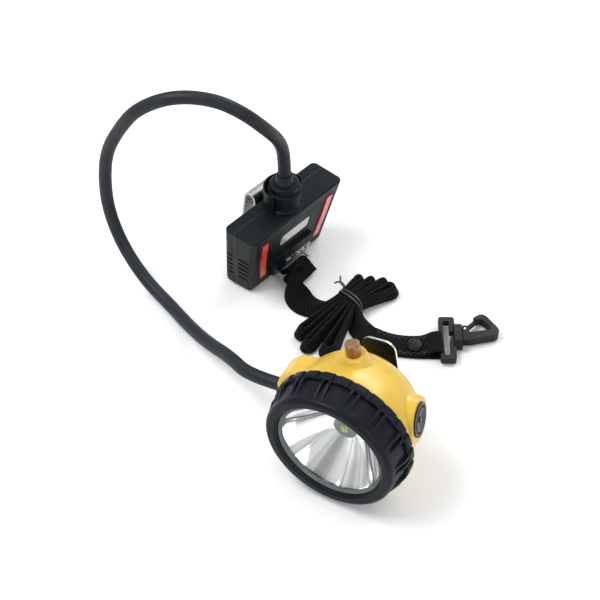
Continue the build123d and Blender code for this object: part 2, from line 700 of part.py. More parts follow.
def make_hook_body():
    outline = make_face(Polyline(
        (8.6, -1.5), (13, -1.5), (27, 2.0), (29.2, 3.6), (29.8, 6.2), (29, 8.4), (23.4, 17),
        (21.2, 18.6), (18.6, 18.2), (15.4, 15.7), (16.9, 14.1), (19.2, 14.8), (20.8, 14),
        (25.2, 8.6), (24.6, 6.8), (12.6, 4.4), (12.6, 9.6), (8.6, 9.6), close=True))
    body = Pos(0, 0, SWIVEL_Z - HOOK_THICK / 2) * extrude(outline, HOOK_THICK)
    hinge = Pos(*GATE_HINGE, SWIVEL_Z)
    slot = Cylinder(2.3, GATE_THICK + 0.6) + Pos(3, 2.4, 0) * Box(6, 5.2, GATE_THICK + 0.6)
    body -= hinge * slot
    body -= hinge * Cylinder(GATE_PIN_R, 9)
    stem = along_hook(SWIVEL_R, 3.6, 8.7) + along_hook(2.9, 3.0, 4.7)
    return body + stem


def make_gate():
    barrel = Cylinder(1.8, GATE_THICK)
    arm = Rot(0, 0, 45.5) * Pos(4.6, 0, 0) * Box(8.4, 1.7, GATE_THICK)
    arm = barrel + arm
    arm -= Cylinder(GATE_PIN_R + RUNNING_GAP, GATE_THICK + 1)
    return Pos(*GATE_HINGE, SWIVEL_Z) * arm


def make_gate_pin():
    return Pos(*GATE_HINGE, SWIVEL_Z) * Cylinder(GATE_PIN_R, HOOK_THICK)


def main():
    os.makedirs("parts", exist_ok=True)
    front_shell, rear_shell, gasket = make_pack_shells()
    nodes = {
        "bezel_ring": head(make_bezel()),
        "lens": head(make_lens()),
        "lens_gasket": head(make_lens_gasket()),
        "reflector": head(make_reflector()),
        "heat_sink": head(make_heat_sink()),
        "led_board": head(make_led_board()),
        "led_emitter": head(make_led_emitter()),
        "driver_board": head(make_driver_board()),
        "lamp_housing": head(make_lamp_housing()),
        "switch_ring": head(make_switch_ring()),
        "switch_button": head(make_switch_button()),
        "switch_spring": head(make_switch_spring()),
        "switch_body": head(make_switch_body()),
        "charge_contact": head(make_charge_contact()),
        "contact_nut": head(make_contact_nut()),
        "lamp_grommet": head(make_lamp_grommet()),
        "lamp_clip": head(make_lamp_clip()),
        "lamp_clip_screws": head(make_lamp_clip_screws()),
        "pack_front_shell": pack(front_shell),
        "pack_rear_shell": pack(rear_shell),
        "pack_gasket": pack(gasket),
        "warning_lens_left": pack(make_warning_lens(-1)),
        "warning_lens_right": pack(make_warning_lens(1)),
        "display_window": pack(make_display_window()),
        "display_module": pack(make_display_module()),
        "battery_cells": pack(make_cells()),
        "protection_board": pack(make_protection_board()),
        "gland_body": pack(make_gland_body()),
        "gland_nut": pack(make_gland_nut()),
        "gland_sleeve": pack(make_gland_sleeve()),
        "gland_shroud": pack(make_gland_shroud()),
        "pack_clip": pack(make_pack_clip()),
        "pack_clip_screws": pack(make_pack_clip_screws()),
        "case_screws": pack(make_case_screws()),
        "anchor_plate": pack(make_anchor_plate()),
        "anchor_screws": pack(make_anchor_screws()),
        "strap_ring": pack(make_strap_ring()),
        "power_cord": make_power_cord(),
        "strap_webbing": make_strap_webbing(),
        "twist_tie": make_twist_tie(),
        "snap_fastener": make_snap_fastener(),
        "swivel_base": hook(make_swivel_base()),
        "hook_body": hook(make_hook_body()),
        "hook_gate": hook(make_gate()),
        "gate_pin": hook(make_gate_pin()),
    }
    for name, shape in nodes.items():
        export_step(shape, f"parts/{name}.step")


main()
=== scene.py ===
import json
import math

import bmesh
import bpy
from mathutils import Matrix, Vector


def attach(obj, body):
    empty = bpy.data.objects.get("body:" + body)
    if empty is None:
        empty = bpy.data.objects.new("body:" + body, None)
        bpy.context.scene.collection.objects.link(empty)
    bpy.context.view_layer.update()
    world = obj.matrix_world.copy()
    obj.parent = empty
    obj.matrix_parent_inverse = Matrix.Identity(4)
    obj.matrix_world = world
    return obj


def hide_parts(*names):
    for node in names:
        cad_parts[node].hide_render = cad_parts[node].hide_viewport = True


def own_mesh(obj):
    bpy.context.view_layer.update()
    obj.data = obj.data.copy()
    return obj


# A miner's cap lamp in the CAD model's frame: +Z is up and the lamp shines towards -Y.
# Lengths are in metres, and in millimetres in the lanyard, stitching and twist tie sections.
MM = 0.001

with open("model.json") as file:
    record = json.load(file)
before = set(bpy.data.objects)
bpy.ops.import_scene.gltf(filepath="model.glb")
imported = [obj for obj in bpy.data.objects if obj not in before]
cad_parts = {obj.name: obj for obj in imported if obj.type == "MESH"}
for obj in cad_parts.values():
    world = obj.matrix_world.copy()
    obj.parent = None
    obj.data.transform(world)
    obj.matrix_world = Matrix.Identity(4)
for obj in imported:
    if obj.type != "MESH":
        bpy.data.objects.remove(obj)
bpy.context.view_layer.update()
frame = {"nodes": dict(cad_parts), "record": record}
NODES = frame["nodes"]

# ---- places repeated from the CAD model ----
HEAD_AT = Vector((0.0473, -0.0722, 0.040))
HEAD_ROLL = math.radians(-10)
SWITCH_AT = (0.0352, 0.016, 0.004)
SWITCH_TILT = math.radians(9)
QUARTER_TURN = math.radians(90)
HEAD = Matrix.Translation(HEAD_AT) @ Matrix.Rotation(HEAD_ROLL, 4, "Y")
# the push button's own frame, where +Z points out of the housing
SWITCH_FACE = (HEAD @ Matrix.Translation(SWITCH_AT) @ Matrix.Rotation(SWITCH_TILT, 4, "Z")
               @ Matrix.Rotation(QUARTER_TURN, 4, "Y"))

CORD_D = 0.0076
CORD_ROUTE = [
    (-0.0592, 0.0518, 0.073), (-0.0592, 0.0518, 0.0875), (-0.0587, 0.0458, 0.1023),
    (-0.0595, 0.0332, 0.119), (-0.0675, 0.0235, 0.134), (-0.0815, 0.0165, 0.1428),
    (-0.102, 0.008, 0.143), (-0.1227, 0.0028, 0.130), (-0.1367, 0.0038, 0.110),
    (-0.1477, 0.0038, 0.089), (-0.1517, 0.0038, 0.066), (-0.1507, 0.0028, 0.043),
    (-0.1407, -0.0002, 0.021), (-0.1217, -0.0062, 0.0065), (-0.0997, -0.0142, 0.004),
    (-0.0797, -0.0252, 0.007), (-0.0597, -0.0362, 0.0135), (-0.0385, -0.0460, 0.0225),
    (-0.01933, -0.0582, 0.03028), (0.00037, -0.0582, 0.03376),
]


# ---------------------------------------------------------------- shader helpers
class Surface:
    """A material with a Principled shader and a few procedural layers."""

    def __init__(self, name, colour, roughness, **sockets):
        self.material = bpy.data.materials.new(name)
        self.material.use_nodes = True
        tree = self.material.node_tree
        self.nodes, self.links = tree.nodes, tree.links
        self.shader = self.nodes["Principled BSDF"]
        self.shader.inputs["Base Color"].default_value = (*colour, 1.0)
        self.shader.inputs["Roughness"].default_value = roughness
        for socket, value in sockets.items():
            self.shader.inputs[socket.replace("_", " ")].default_value = value
        self.coords = self.nodes.new("ShaderNodeTexCoord")
        self.normal = None

    def stretched(self, scale, turn=(0, 0, 0), source="Object"):
        """Texture coordinates with a scale for each axis."""
        mapping = self.nodes.new("ShaderNodeMapping")
        mapping.inputs["Scale"].default_value = scale
        mapping.inputs["Rotation"].default_value = turn
        self.links.new(self.coords.outputs[source], mapping.inputs["Vector"])
        return mapping.outputs["Vector"]

    def noise(self, scale, detail=3.0, vector=None):
        texture = self.nodes.new("ShaderNodeTexNoise")
        texture.inputs["Scale"].default_value = scale
        texture.inputs["Detail"].default_value = detail
        self.links.new(vector or self.coords.outputs["Object"], texture.inputs["Vector"])
        return texture.outputs["Fac"]

    def wave(self, scale, vector, direction="X", distortion=0.0):
        texture = self.nodes.new("ShaderNodeTexWave")
        texture.bands_direction = direction
        texture.inputs["Scale"].default_value = scale
        texture.inputs["Distortion"].default_value = distortion
        self.links.new(vector, texture.inputs["Vector"])
        return texture.outputs["Fac"]

    def math(self, operation, first, second=0.0):
        node = self.nodes.new("ShaderNodeMath")
        node.operation = operation
        for socket, value in zip(node.inputs, (first, second)):
            if isinstance(value, (int, float)):
                socket.default_value = value
            else:
                self.links.new(value, socket)
        return node.outputs["Value"]

    def ramp(self, factor, low, high, values=(0.0, 1.0)):
        """The factor's range from low to high, stretched to the two values."""
        node = self.nodes.new("ShaderNodeMapRange")
        for name, value in zip(("From Min", "From Max", "To Min", "To Max"), (low, high, *values)):
            node.inputs[name].default_value = value
        self.links.new(factor, node.inputs["Value"])
        return node.outputs["Result"]

    def separate(self, output="Object"):
        """The three coordinates of the place, or of another output such as the normal."""
        node = self.nodes.new("ShaderNodeSeparateXYZ")
        self.links.new(self.coords.outputs[output], node.inputs["Vector"])
        return node.outputs

    def spokes(self, centre_x, centre_z, scale, detail=4.0):
        """Noise that changes only with the angle round an axis parallel to Y."""
        place = self.separate()
        x = self.math("SUBTRACT", place["X"], centre_x)
        z = self.math("SUBTRACT", place["Z"], centre_z)
        squares = self.math("ADD", self.math("MULTIPLY", x, x), self.math("MULTIPLY", z, z))
        radius = self.math("MAXIMUM", self.math("SQRT", squares), MM)
        vector = self.nodes.new("ShaderNodeCombineXYZ")
        self.links.new(self.math("DIVIDE", x, radius), vector.inputs["X"])
        self.links.new(self.math("DIVIDE", z, radius), vector.inputs["Y"])
        return self.noise(scale, detail, vector.outputs["Vector"])

    def colours(self, factor, first, second):
        """The base colour goes from first to second with the factor."""
        node = self.nodes.new("ShaderNodeMix")
        node.data_type = "RGBA"
        node.inputs["A"].default_value = (*first, 1.0)
        node.inputs["B"].default_value = (*second, 1.0)
        self.links.new(factor, node.inputs["Factor"])
        self.links.new(node.outputs["Result"], self.shader.inputs["Base Color"])

    def over(self, factor, colour):
        """Another colour over the base colour where the factor is high."""
        node = self.nodes.new("ShaderNodeMix")
        node.data_type = "RGBA"
        before = self.shader.inputs["Base Color"].links
        if before:
            self.links.new(before[0].from_socket, node.inputs["A"])
        else:
            node.inputs["A"].default_value = self.shader.inputs["Base Color"].default_value
        node.inputs["B"].default_value = (*colour, 1.0)
        self.links.new(factor, node.inputs["Factor"])
        self.links.new(node.outputs["Result"], self.shader.inputs["Base Color"])

    def roughness(self, factor, low, high, values):
        self.links.new(self.ramp(factor, low, high, values), self.shader.inputs["Roughness"])

    def soft_edges(self, radius):
        """Rounds how sharp edges catch the light."""
        node = self.nodes.new("ShaderNodeBevel")
        node.samples = 6
        node.inputs["Radius"].default_value = radius
        self.normal = node.outputs["Normal"]
        self.links.new(self.normal, self.shader.inputs["Normal"])

    def bump(self, height, distance, strength=1.0):
        """Adds a bump of that height in metres on top of those before it."""
        node = self.nodes.new("ShaderNodeBump")
        node.inputs["Strength"].default_value = strength
        node.inputs["Distance"].default_value = distance
        self.links.new(height, node.inputs["Height"])
        if self.normal:
            self.links.new(self.normal, node.inputs["Normal"])
        self.normal = node.outputs["Normal"]
        self.links.new(self.normal, self.shader.inputs["Normal"])


# ---------------------------------------------------------------- materials
# the radius by which an edge of moulded plastic looks rounded; metal has half of it
EDGE_R = 0.0005
# scales of the weave's two waves over one band width: ribs side by side, and picks along the band
WEB_RIBS = 3.6
WEB_PICKS = 5.2


def moulded(name, colour, worn, roughness, grain, relief, **sockets):
    """Moulded plastic: a fine cast grain, faint cloudiness and handling marks."""
    s = Surface(name, colour, roughness, **sockets)
    s.soft_edges(EDGE_R)
    cloud = s.noise(60, 4)
    s.colours(s.ramp(cloud, 0.35, 0.7), colour, worn)
    s.roughness(s.noise(140, 5), 0.3, 0.7, (roughness - 0.07, roughness + 0.09))
    s.bump(s.noise(grain, 2), relief, 0.6)
    scratch = s.noise(90, 6, s.stretched((1, 14, 3), (0.3, 0.9, 0.5)))
    s.bump(s.ramp(scratch, 0.62, 0.68), relief * 0.5, 0.25)
    return s.material


def rubber(name, colour, roughness):
    """Extruded rubber: matte, with a dusty bloom."""
    s = Surface(name, colour, roughness, Specular_IOR_Level=0.25)
    bloom = s.noise(55, 5)
    s.colours(s.ramp(bloom, 0.4, 0.75), colour, tuple(c * 1.5 + 0.004 for c in colour))
    s.roughness(s.noise(220, 4), 0.3, 0.7, (roughness - 0.06, roughness + 0.1))
    s.bump(s.noise(2600, 2), 0.00003, 0.5)
    return s.material


def metal(name, colour, worn, roughness, stretch):
    """Brushed or turned metal with fine lines along one direction and dull spots."""
    s = Surface(name, colour, roughness, Metallic=1.0)
    s.soft_edges(EDGE_R / 2)
    lines = s.noise(420, 3, s.stretched(stretch))
    s.colours(s.ramp(s.noise(90, 4), 0.42, 0.8), colour, worn)
    s.roughness(lines, 0.3, 0.7, (roughness - 0.05, roughness + 0.07))
    s.bump(lines, 0.00001, 0.25)
    return s.material


def glass_material():
    s = Surface("clear_lens", (1.0, 1.0, 1.0), 0.02, Transmission_Weight=1.0, IOR=1.49)
    s.roughness(s.noise(90, 4), 0.45, 0.8, (0.0, 0.035))
    return s.material


def reflector_material():
    """Vacuum-plated plastic with painted reflections: spokes of lighter and darker colour round the
    lamp's axis.
    """
    s = Surface("plated_reflector", (0.93, 0.93, 0.92), 0.07, Metallic=1.0)
    broad = s.spokes(HEAD_AT.x, HEAD_AT.z, 2.1, 2.0)
    fine = s.spokes(HEAD_AT.x, HEAD_AT.z, 9.0, 4.0)
    # painted reflections: broad light and dark spokes, then fine dark spokes and warm spokes over them
    s.colours(s.ramp(broad, 0.36, 0.5), (0.34, 0.35, 0.33), (0.98, 0.98, 0.97))
    s.over(s.ramp(fine, 0.6, 0.67, (0.0, 0.5)), (0.16, 0.17, 0.17))
    s.over(s.ramp(s.spokes(HEAD_AT.x, HEAD_AT.z, 4.3, 1.0), 0.6, 0.68, (0.0, 0.35)), (0.55, 0.40, 0.36))
    s.roughness(s.noise(45, 3), 0.3, 0.7, (0.05, 0.11))
    s.bump(s.noise(110, 2), 0.0001, 0.15)
    return s.material


def clip_material():
    """Spring steel coloured by which way each face looks: a painted dark reflection on the faces across Y
    and a painted highlight on the edges turned other ways.
    """
    s = Surface("spring_steel", (0.06, 0.055, 0.05), 0.3, Metallic=1.0)
    painted_light_facing = s.math("ABSOLUTE", s.separate("Normal")["Y"])
    # painted light: faces across Y get a dark painted reflection, edges a bright painted highlight
    s.colours(s.ramp(painted_light_facing, 0.72, 0.92), (0.8, 0.8, 0.78), (0.055, 0.05, 0.045))
    lines = s.noise(420, 3, s.stretched((1, 1, 9)))
    s.roughness(lines, 0.3, 0.7, (0.22, 0.42))
    s.bump(lines, 0.00002, 0.35)
    return s.material


def led_material():
    s = Surface("led_phosphor", (0.85, 0.78, 0.16), 0.25, Coat_Weight=1.0)
    s.colours(s.noise(900, 2), (0.9, 0.8, 0.12), (0.75, 0.72, 0.25))
    return s.material


def board_material():
    s = Surface("circuit_board", (0.03, 0.16, 0.07), 0.35)
    tracks = s.ramp(s.wave(160, s.stretched((1, 1, 1)), "Z", 6.0), 0.8, 0.9)
    s.over(tracks, (0.05, 0.25, 0.1))
    s.bump(tracks, 0.00004)
    return s.material


def window_material():
    s = Surface("display_window", (0.42, 0.45, 0.41), 0.16, Coat_Weight=0.6)
    s.colours(s.ramp(s.noise(70, 3), 0.3, 0.7), (0.42, 0.45, 0.41), (0.52, 0.55, 0.5))
    s.roughness(s.noise(300, 4), 0.3, 0.7, (0.1, 0.24))
    return s.material


def red_material():
    s = Surface("warning_red", (0.62, 0.03, 0.015), 0.2, Coat_Weight=0.7, Subsurface_Weight=0.15)
    s.shader.inputs["Subsurface Radius"].default_value = (0.004, 0.0008, 0.0005)
    ribs = s.wave(420, s.stretched((0, 0, 1)), "Z")
    s.colours(s.ramp(s.noise(90, 3), 0.3, 0.7), (0.6, 0.025, 0.012), (0.75, 0.07, 0.04))
    s.bump(ribs, 0.00012, 0.35)
    return s.material


def webbing_material():
    """Black woven webbing: ribs along the band, each crossed by slanted picks, from its own UVs."""
    s = Surface("webbing", (0.005, 0.0055, 0.007), 0.85, Sheen_Weight=0.02, Sheen_Roughness=0.4,
                Specular_IOR_Level=0.14)
    ribs = s.wave(1.0, s.stretched((WEB_RIBS, 0, 0), source="UV"), "X")
    picks = s.wave(1.0, s.stretched((WEB_RIBS / 2, WEB_PICKS, 0), source="UV"), "DIAGONAL")
    weave = s.math("MULTIPLY", s.ramp(ribs, 0.0, 0.6), s.ramp(picks, 0.15, 0.85))
    # painted shade: the weave's low parts between the ribs and picks are painted darker than its raised
    # tops
    s.colours(weave, (0.001, 0.0012, 0.0017), (0.008, 0.0088, 0.0115))
    s.bump(weave, 0.0006, 1.0)
    s.bump(s.noise(3000, 2), 0.00006, 0.6)
    return s.material


YELLOW = moulded("yellow_housing", (0.60, 0.38, 0.03), (0.66, 0.44, 0.055), 0.33, 1500, 0.00004,
                 Coat_Weight=0.25, Coat_Roughness=0.2)
BEZEL = moulded("bezel_black", (0.0045, 0.0055, 0.009), (0.009, 0.0105, 0.016), 0.38, 1900, 0.00004,
                Specular_IOR_Level=0.14)
PACK_BLACK = moulded("pack_black", (0.004, 0.006, 0.0075), (0.008, 0.011, 0.013), 0.42, 2200, 0.00006,
                     Specular_IOR_Level=0.13)
SWITCH = moulded("switch_black", (0.007, 0.007, 0.009), (0.014, 0.014, 0.017), 0.36, 2000, 0.00004,
                 Specular_IOR_Level=0.28)
HOOK_BLACK = moulded("hook_black", (0.004, 0.005, 0.0065), (0.008, 0.0095, 0.012), 0.36, 1600, 0.00003,
                     Specular_IOR_Level=0.18)
TIE_BLACK = moulded("tie_black", (0.02, 0.02, 0.024), (0.05, 0.05, 0.055), 0.3, 2500, 0.00003)
CORD_RUBBER = rubber("cord_rubber", (0.008, 0.0105, 0.0145), 0.48)
SEAL = rubber("seal_rubber", (0.085, 0.11, 0.10), 0.5)
STEEL = metal("brushed_steel", (0.55, 0.55, 0.55), (0.45, 0.44, 0.42), 0.24, (1, 1, 9))
BRASS = metal("worn_brass", (0.40, 0.23, 0.115), (0.22, 0.11, 0.055), 0.34, (1, 1, 14))
ALUMINIUM = metal("turned_aluminium", (0.7, 0.7, 0.72), (0.55, 0.55, 0.57), 0.3, (1, 9, 1))
CELL = moulded("cell_sleeve", (0.03, 0.12, 0.45), (0.05, 0.16, 0.5), 0.25, 1500, 0.00003)
WEBBING = webbing_material()

SLOT_MATERIALS = {
    "yellow_housing": YELLOW, "bezel_rubber": BEZEL, "pack_plastic": PACK_BLACK, "switch_plastic": SWITCH,
    "hook_plastic": HOOK_BLACK, "red_plastic": red_material(), "window_plastic": window_material(),
    "tie_plastic": TIE_BLACK, "seal_rubber": SEAL, "cord_rubber": CORD_RUBBER, "webbing": WEBBING,
    "lens_glass": glass_material(), "reflector_metal": reflector_material(), "aluminium": ALUMINIUM,
    "brass": BRASS, "steel": STEEL, "board": board_material(), "led": led_material(), "cell_wrap": CELL,
}
NODE_MATERIALS = {"lamp_clip": clip_material()}


def paint_nodes():
    """Each CAD node takes its slot's material, or its own where it has one."""
    for part in frame["record"]["subparts"]:
        mesh = NODES[part["node"]].data
        mesh.materials.clear()
        mesh.materials.append(NODE_MATERIALS.get(part["node"], SLOT_MATERIALS[part["material_slot"]]))


# ---------------------------------------------------------------- mesh helpers
def add_piece(name, points, faces, slot, uvs=None, body="root"):
    """A mesh object that rides on a body and takes its finish from a material slot."""
    mesh = bpy.data.meshes.new(name)
    mesh.from_pydata([tuple(p) for p in points], [], faces)
    mesh.materials.append(SLOT_MATERIALS[slot])
    if uvs:
        layer = mesh.uv_layers.new(name="UVMap")
        for loop in mesh.loops:
            layer.data[loop.index].uv = uvs[loop.vertex_index]
    mesh.shade_smooth()
    piece = bpy.data.objects.new(name, mesh)
    bpy.context.scene.collection.objects.link(piece)
    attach(piece, body)
    return piece


def spline_values(controls, per_span):
    """A clamped cubic B-spline through any number of values for each control."""
    padded = [controls[0]] * 2 + list(controls) + [controls[-1]] * 2
    values = []
    for i in range(len(padded) - 3):
        group = padded[i:i + 4]
        for k in range(per_span):
            t = k / per_span
            weights = ((1 - t) ** 3 / 6, (3 * t ** 3 - 6 * t * t + 4) / 6,
                       (-3 * t ** 3 + 3 * t * t + 3 * t + 1) / 6, t ** 3 / 6)
            values.append([sum(w * c[j] for w, c in zip(weights, group)) for j in range(len(group[0]))])
    values.append(list(controls[-1]))
    return values


# a path whose level part is under LEVEL_MIN is nearly upright and only carries its across axis on;
# elsewhere that axis turns towards level by LEVEL_SHARE at each place
LEVEL_MIN = 0.35
LEVEL_SHARE = 0.3


def carried_frames(places, first_across):
    """Along, across and up axes at each place; across stays as level as the path allows."""
    frames = []
    across = Vector(first_across).normalized()
    for i, place in enumerate(places):
        along = (places[min(i + 1, len(places) - 1)] - places[max(i - 1, 0)]).normalized()
        across = (across - across.dot(along) * along).normalized()
        level = along.cross(Vector((0, 0, 1)))
        if level.length > LEVEL_MIN:
            level.normalize()
            if level.dot(across) < 0:
                level.negate()
            across = across.lerp(level, LEVEL_SHARE).normalized()
        frames.append((along, across.copy(), across.cross(along).normalized()))
    return frames


def ring_faces(rings, size):
    """Quads between closed rings of the same size, and a cap at each end."""
    faces = []
    for r in range(rings - 1):
        for k in range(size):
            after = (k + 1) % size
            faces.append((r * size + k, r * size + after, (r + 1) * size + after, (r + 1) * size + k))
    faces.append(tuple(range(size - 1, -1, -1)))
    faces.append(tuple((rings - 1) * size + k for k in range(size)))
    return faces


def face_outwards(piece):
    """Turns the faces of a closed mesh so that they all look outwards."""
    bm = bmesh.new()
    bm.from_mesh(piece.data)
    bmesh.ops.recalc_face_normals(bm, faces=bm.faces)
    bm.to_mesh(piece.data)
    bm.free()


def round_wire(name, runs, radius, slot, kind="NURBS"):
    """A curve of round section through each run of places in metres, in a slot's finish."""
    data = bpy.data.curves.new(name, "CURVE")
    data.dimensions = "3D"
    data.bevel_depth = radius
    for run in runs:
        spline = data.splines.new(kind)
        spline.points.add(len(run) - 1)
        for point, place in zip(spline.points, run):
            point.co = (*place, 1.0)
        if kind == "NURBS":
            spline.order_u = 3
            spline.use_endpoint_u = True
    data.materials.append(SLOT_MATERIALS[slot])
    wire = bpy.data.objects.new(name, data)
    bpy.context.scene.collection.objects.link(wire)
    return wire


# ---------------------------------------------------------------- lanyard
WEB_W = 16.0
WEB_T = 0.85
# half width of the bend along the middle of a folded band, and the share of thickness left at its edges
FOLD_ZONE = 0.9
EDGE_SHARE = 0.45
# where the tie gathers the strands, the line they lie along there, and the step between them
WAIST = Vector((-7.0, 37.5, 11.6))
WAIST_ACROSS = Vector((0.951, -0.309, 0))
STRAND_STEP = 1.75
# the way the band's width lies in the wire ring
RING_ACROSS = (0.208, 0.978, 0)

# tip x, y, crest height and gap between the two strands, in the order the band passes through them
FINGERS = [
    (-11.6, 57.4, 9.6, 3.2), (-21.5, 3.2, 8.8, 3.6), (-4.6, 60.2, 9.0, 2.8), (-13.6, -3.8, 8.6, 3.0),
    (2.6, 62.8, 8.8, 2.6), (-0.6, -2.6, 9.0, 5.4), (9.2, 61.0, 9.0, 4.6),
]
# x, y, z in millimetres, then the roll and fold of the band in degrees
STUB_AND_LEAD = [
    (-40.2, 47.2, 3.0, 0, 0), (-43.5, 47.6, 5.2, 0, 0), (-47.0, 48.2, 8.2, 0, 0),
    (-51.0, 49.0, 9.0, 0, 0), (-53.3, 49.4, 5.6, 0, 0), (-51.8, 48.6, 2.6, 4, 0),
    (-50.2, 45.6, 4.6, 30, 30), (-49.8, 41.4, 7.8, 70, 30),
    (-48.2, 36.4, 8.5, 78, 10), (-44.6, 31.4, 8.1, 66, 6), (-39.0, 27.8, 6.0, 42, 6),
    (-32.0, 25.8, 3.0, 14, 10), (-24.5, 27.4, 3.2, 0, 40), (-17.8, 31.6, 7.0, 0, 120),
]
TAIL_AND_BAND = [
    (0.4, 30.4, 8.3, 0, 150), (5.0, 26.2, 4.5, 0, 66), (12.0, 22.8, 1.5, 0, 14), (21.3, 21.4, 1.1, 0, 0),
    (34.3, 25.2, 1.1, 0, 0), (43.6, 29.4, 1.1, 0, 0), (50.0, 33.0, 1.2, 0, 0), (52.6, 34.7, 1.2, 0, 0),
    (54.2, 35.6, 2.6, 0, 0), (54.2, 35.6, 5.8, 0, 0), (52.4, 34.6, 7.2, 0, 0), (49.0, 32.8, 6.6, 0, 0),
    (46.0, 31.0, 4.0, 0, 0), (42.0, 28.8, 2.5, 0, 0), (34.3, 25.2, 2.2, 0, 0), (24.0, 21.9, 2.2, 0, 0),
    (13.5, 22.2, 2.3, 0, 0),
]
# the fold of a hanging strand, and how far it eases: near the waist, further out, by the tip, at the tip
STRAND_FOLD = 176
EASE_NEAR = 4
EASE_FAR = 14
EASE_BEND = 30
EASE_TIP = 40
# shares of the way from waist to tip, then the bight's swell, its taper and the length of its head
NEAR_SHARE = 0.3
FAR_SHARE = 0.68
BIGHT_SWELL = 1.15
TIP_TAPER = 0.9
BIGHT_HEAD = 4
# places drawn for each control, and parts of each step across the band over which its slope is summed
BAND_STEPS = 7
SLOPE_PARTS = 4
# half the band's width, in steps that are finest by the fold
HALF_MARKS = [0, 0.25, 0.55, 0.9, 1.5, 2.6, 4.2, 6.0, WEB_W / 2 - 0.5, WEB_W / 2]


def waist_point(strand):
    """Where a strand passes through the tie."""
    return WAIST + WAIST_ACROSS * STRAND_STEP * (strand - len(FINGERS) / 2)


def finger_controls(number):
    """The bight of one finger: out along one strand, round the tip, and back along the next."""
    x, y, crest, gap = FINGERS[number]
    tip = Vector((x, y, crest))
    leave, come = waist_point(number), waist_point(number + 1)
    along = tip - WAIST
    along.z = 0
    along.normalize()
    side = Vector((along.y, -along.x, 0)) * (gap / 2)
    if along.y < 0:
        side.negate()
    route = [
        (leave, 0.0),
        (leave.lerp(tip - side, NEAR_SHARE), EASE_NEAR),
        (leave.lerp(tip - side, FAR_SHARE), EASE_FAR),
        (tip - side * BIGHT_SWELL - along * BIGHT_HEAD, EASE_BEND),
        (tip - side * TIP_TAPER, EASE_TIP),
        (tip + side * TIP_TAPER, EASE_TIP),
        (tip + side * BIGHT_SWELL - along * BIGHT_HEAD, EASE_BEND),
        (come.lerp(tip + side, FAR_SHARE), EASE_FAR),
        (come.lerp(tip + side, NEAR_SHARE), EASE_NEAR),
    ]
    return [(*place, 0, STRAND_FOLD - ease) for place, ease in route]


def webbing_controls():
    """The whole band: stub and lead, the seven fingers, then tail and sewn band."""
    controls = list(STUB_AND_LEAD)
    for number in range(len(FINGERS)):
        controls += finger_controls(number)
    controls.append((*waist_point(len(FINGERS)), 0, STRAND_FOLD))
    return controls + TAIL_AND_BAND


def half_section(fold):
    """From the band's middle to its edge: x, y, slope and distance, bent down by half the fold."""
    half_fold = math.radians(fold) / 2
    x = y = 0.0
    points = [(0.0, 0.0, 0.0, 0.0)]
    for before, here in zip(HALF_MARKS, HALF_MARKS[1:]):
        step = (here - before) / SLOPE_PARTS
        for k in range(SLOPE_PARTS):
            s = before + step * (k + 0.5)
            angle = half_fold * min(1.0, s / FOLD_ZONE)
            x += math.cos(angle) * step
            y -= math.sin(angle) * step
        points.append((x, y, half_fold * min(1.0, here / FOLD_ZONE), here))
    return points


def band_section(fold):
    """Upper, then lower points across the band, which bends down along its middle by the fold angle."""
    right = half_section(fold)
    line = [(-x, y, -slope, -s) for x, y, slope, s in reversed(right[1:])] + right
    upper, lower = [], []
    for x, y, slope, s in line:
        half = WEB_T / 2 * (EDGE_SHARE if abs(s) == WEB_W / 2 else 1.0)
        dx, dy = math.sin(slope) * half, math.cos(slope) * half
        upper.append((x + dx, y + dy, s))
        lower.append((x - dx, y - dy, s))
    return upper + lower[::-1]


def sweep_band(name, controls, slot, first_across):
    """A band along the controls, with UVs in band widths, and its length."""
    values = spline_values(controls, BAND_STEPS)
    places = [Vector(v[:3]) for v in values]
    frames = carried_frames(places, first_across)
    points, uvs, length = [], [], 0.0
    for i, (place, (along, across, up)) in enumerate(zip(places, frames)):
        if i:
            length += (place - places[i - 1]).length
        roll, fold = values[i][3], values[i][4]
        turn = Matrix.Rotation(math.radians(roll), 3, along)
        across, up = turn @ across, turn @ up
        down = 1 if up.z >= 0 else -1
        ring = band_section(fold)
        for x, y, s in ring:
            points.append((place + across * x + up * y * down) * MM)
            uvs.append((s / WEB_W + 0.5, length / WEB_W))
    piece = add_piece(name, points, ring_faces(len(places), len(ring)), slot, uvs)
    return piece, length


def make_webbing():
    """The one woven band, from the loop at the pack's ring to the sewn end in the buckle."""
    strap, length = sweep_band("webbing_band", webbing_controls(), "webbing", RING_ACROSS)
    face_outwards(strap)
    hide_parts("strap_webbing")


# ---------------------------------------------------------------- stitching
THREAD_R = 0.28
STITCH_STEP = 1.7
STITCH_SWING = 1.1
THREAD_RISE = 0.12
SEAM_OFFSET = WEB_W * 0.36
# the controls at the end of the band that are sewn, and the places drawn for each
SEWN_CONTROLS = 5
SEAM_STEPS = 24


def band_surface():
    """Places along the middle of the sewn band's upper layer, from its free end to the buckle."""
    upper = [control[:3] for control in reversed(TAIL_AND_BAND[-SEWN_CONTROLS:])]
    return [Vector(value) for value in spline_values(upper, SEAM_STEPS)]


def zigzag_row(places, offset):
    """Corners in metres of one zigzag seam, offset across the band from its middle."""
    corners, run, side = [], 0.0, 1
    for before, here, after in zip(places, places[1:], places[2:]):
        run += (here - before).length
        if run < STITCH_STEP:
            continue
        run, side = 0.0, -side
        along = (after - before).normalized()
        across = along.cross(Vector((0, 0, 1))).normalized()
        rise = Vector((0, 0, WEB_T / 2 + THREAD_RISE))
        corners.append((here + across * (offset + side * STITCH_SWING) + rise) * MM)
    return corners


